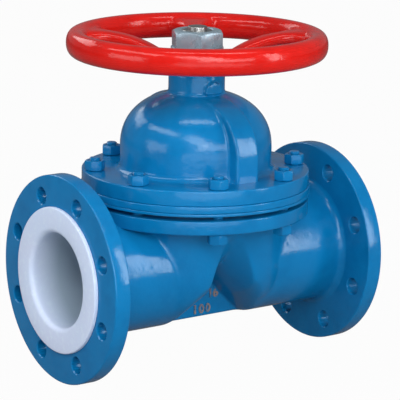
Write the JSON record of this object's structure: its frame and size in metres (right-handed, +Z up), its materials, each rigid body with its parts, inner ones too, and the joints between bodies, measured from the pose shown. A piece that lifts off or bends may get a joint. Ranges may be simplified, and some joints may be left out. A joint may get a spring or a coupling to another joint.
{
  "type": "weir diaphragm valve",
  "caption": "Flanged weir-type diaphragm valve with a lined iron body, domed bonnet bolted over the diaphragm, rising stem and a spoked handwheel.",
  "frame": {"origin": "under the stem's axis, at the height of the end flanges' lowest points", "axes": "+X along the pipe towards the outlet, +Z up along the stem to the handwheel, +Y across"},
  "size_m": [0.35, 0.277, 0.363],
  "materials": {
    "blue_enamel": "glossy blue enamel over cast iron and steel bolting",
    "red_enamel": "glossy red enamel over cast iron",
    "white_lining": "smooth satin fluoropolymer lining",
    "black_rubber": "matt moulded rubber",
    "zinc_steel": "bright zinc plate",
    "bare_steel": "turned and oiled steel",
    "brass": "turned brass",
    "bare_iron": "as cast"
  },
  "bodies": {
    "valve_body": {"body": "blue_enamel", "body_lining": "white_lining", "diaphragm_face": "white_lining", "diaphragm_backing": "black_rubber", "bonnet": "blue_enamel", "stem_nut": "brass", "stem_nut_lock_screw": "zinc_steel", "joint_bolt_2": "blue_enamel", "joint_bolt_3": "blue_enamel", "joint_bolt_6": "blue_enamel", "joint_bolt_7": "blue_enamel", "joint_stud_1": "blue_enamel", "joint_stud_4": "blue_enamel", "joint_stud_5": "blue_enamel", "joint_stud_8": "blue_enamel", "joint_nut_1": "blue_enamel", "joint_nut_2": "blue_enamel", "joint_nut_3": "blue_enamel", "joint_nut_4": "blue_enamel", "joint_nut_5": "blue_enamel", "joint_nut_6": "blue_enamel", "joint_nut_7": "blue_enamel", "joint_nut_8": "blue_enamel"},
    "compressor_set": {"compressor": "bare_iron", "compressor_pin_left": "bare_steel", "compressor_pin_right": "bare_steel", "diaphragm_stud": "bare_steel"},
    "handwheel_and_stem": {"stem": "bare_steel", "handwheel": "red_enamel", "handwheel_key": "bare_steel", "handwheel_washer": "zinc_steel", "handwheel_nut": "zinc_steel"}
  },
  "joints": [
    {"name": "compressor_lift", "type": "slide", "parent": "valve_body", "child": "compressor_set", "axis": [0, 0, 1], "range_m": [0, 0.04], "deforming": ["diaphragm_face", "diaphragm_backing"]},
    {"name": "handwheel_turn", "type": "hinge", "parent": "compressor_set", "child": "handwheel_and_stem", "pos_m": [0, 0, 0.3], "axis": [0, 0, 1], "range_deg": [0, 2400]}
  ],
  "couplings": [
    {"joint": "compressor_lift", "follows": "handwheel_turn", "m_per_rad": 0.00095493}
  ]
}
